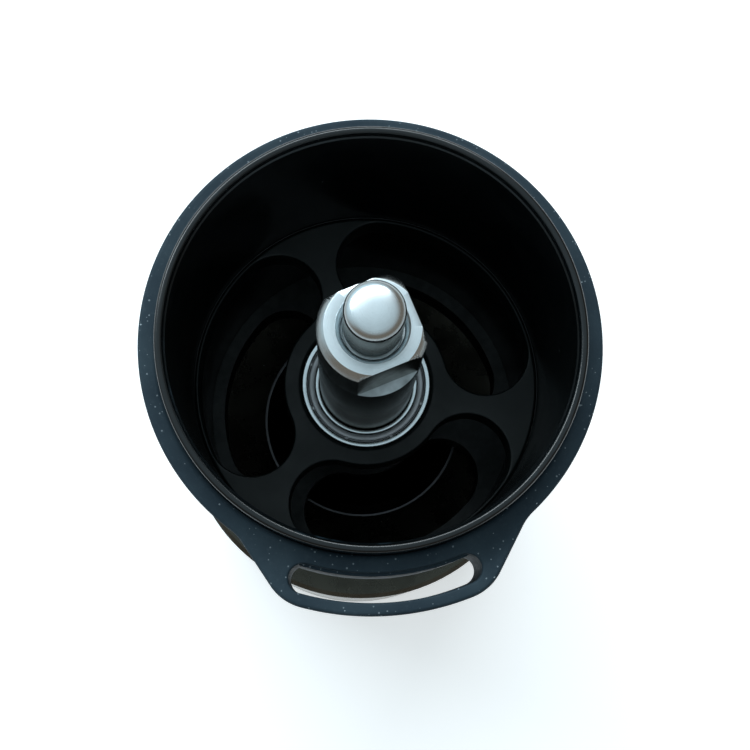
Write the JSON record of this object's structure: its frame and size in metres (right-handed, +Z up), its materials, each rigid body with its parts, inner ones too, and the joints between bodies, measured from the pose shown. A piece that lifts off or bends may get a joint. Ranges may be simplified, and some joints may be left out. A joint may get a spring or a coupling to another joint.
{
  "type": "hand coffee grinder",
  "caption": "Hand coffee grinder body, open at the top: black tube with rubber grip band and crank loop, steel drive head on a ball bearing, conical burrs, and a catch cup that pulls off.",
  "frame": {"origin": "centre of the base, on the surface that it stands on", "axes": "+Z up the drive shaft, carry loop towards -Y"},
  "size_m": [0.068, 0.0714, 0.1655],
  "materials": {
    "tube_black": "black anodised, satin",
    "band_rubber": "matte blue-grey rubber with fine dust",
    "web_black": "black anodised, matte",
    "bearing_steel": "polished bearing steel",
    "cage_brass": "pressed brass",
    "shaft_steel": "turned stainless steel",
    "spring_steel": "oiled spring steel",
    "magnet_nickel": "nickel plated",
    "burr_steel": "hardened ground steel",
    "screw_steel": "stainless steel",
    "dial_metal": "clear anodised, knurled",
    "cup_metal": "warm dark grey anodised, semi-gloss",
    "pad_rubber": "soft matte rubber"
  },
  "bodies": {
    "housing": {"body_tube": "tube_black", "handle_band": "band_rubber", "upper_spider": "web_black", "lower_spider": "web_black", "upper_bearing_outer_ring": "bearing_steel", "upper_bearing_shields": "bearing_steel", "lower_bearing_outer_ring": "bearing_steel", "lower_bearing_shields": "bearing_steel", "burr_carrier": "cup_metal", "carrier_magnets": "magnet_nickel", "ring_burr": "burr_steel", "burr_clamp_ring": "shaft_steel", "clamp_screws": "screw_steel"},
    "shaft": {"drive_sleeve": "shaft_steel", "spindle": "shaft_steel", "drive_pin": "shaft_steel", "shaft_circlip": "spring_steel", "upper_bearing_inner_ring": "bearing_steel", "lower_bearing_inner_ring": "bearing_steel", "burr_spring": "spring_steel"},
    "upper_ball_set": {"upper_bearing_balls": "bearing_steel", "upper_bearing_cage": "cage_brass"},
    "lower_ball_set": {"lower_bearing_balls": "bearing_steel", "lower_bearing_cage": "cage_brass"},
    "burr": {"cone_burr": "burr_steel", "click_plate": "screw_steel"},
    "dial": {"adjust_dial": "dial_metal", "detent_balls": "bearing_steel", "detent_springs": "spring_steel"},
    "cup": {"catch_cup": "cup_metal", "cup_magnets": "magnet_nickel", "base_pad": "pad_rubber"}
  },
  "joints": [
    {"name": "crank_spin", "type": "hinge", "parent": "housing", "child": "shaft", "pos_m": [0, 0, 0.107], "axis": [0, 0, 1], "continuous": true},
    {"name": "upper_balls_spin", "type": "hinge", "parent": "housing", "child": "upper_ball_set", "pos_m": [0, 0, 0.1074], "axis": [0, 0, 1], "continuous": true},
    {"name": "lower_balls_spin", "type": "hinge", "parent": "housing", "child": "lower_ball_set", "pos_m": [0, 0, 0.0745], "axis": [0, 0, 1], "continuous": true},
    {"name": "burr_gap", "type": "slide", "parent": "shaft", "child": "burr", "axis": [0, 0, -1], "range_m": [0, 0.0015], "deforming": ["burr_spring"]},
    {"name": "dial_turn", "type": "hinge", "parent": "burr", "child": "dial", "pos_m": [0, 0, 0.044], "axis": [0, 0, -1], "range_deg": [0, 720]},
    {"name": "cup_pull", "type": "slide", "parent": "housing", "child": "cup", "axis": [0, 0, -1], "range_m": [0, 0.06]}
  ],
  "couplings": [
    {"joint": "upper_balls_spin", "follows": "crank_spin", "ratio": 0.44444},
    {"joint": "lower_balls_spin", "follows": "crank_spin", "ratio": 0.4},
    {"joint": "dial_turn", "follows": "burr_gap", "rad_per_m": 8377.6}
  ]
}
